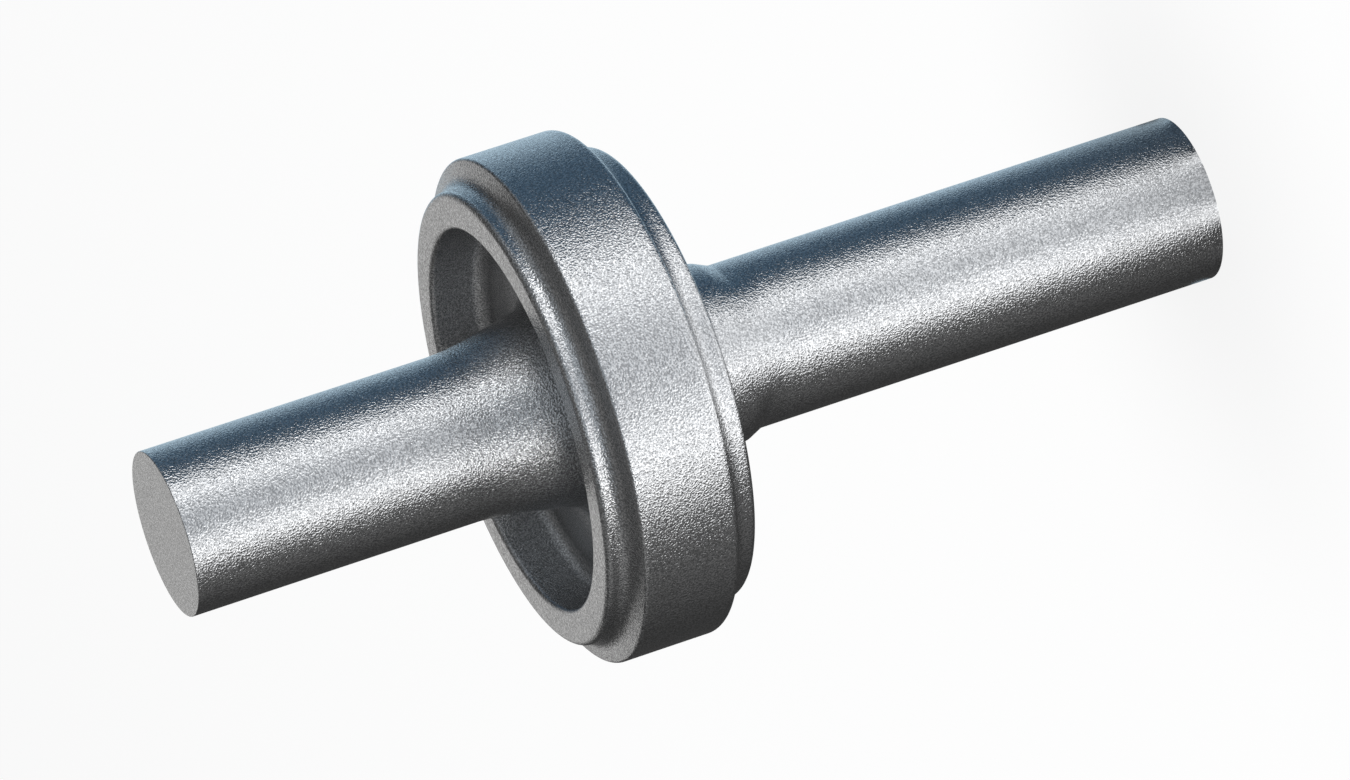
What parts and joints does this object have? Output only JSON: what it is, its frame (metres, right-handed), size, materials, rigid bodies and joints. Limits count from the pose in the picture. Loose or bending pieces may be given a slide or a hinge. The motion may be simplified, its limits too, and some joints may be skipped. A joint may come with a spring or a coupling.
{
  "type": "transmission shaft",
  "caption": "Forged steel transmission shaft: a plain round bar with a stepped, deeply recessed rim on a web, and a hub that flares into the bar.",
  "frame": {"origin": "centre of the lower end face, which the shaft stands on", "axes": "+Z along the shaft's axis, from the end farther from the rim to the end nearer to it; X and Y are free, because the shaft is round"},
  "size_m": [0.154, 0.154, 0.3275],
  "materials": {
    "forged_steel": "shot-blasted forged steel, fine even grain"
  },
  "bodies": {
    "root": {"transmission_shaft": "forged_steel"}
  },
  "joints": []
}
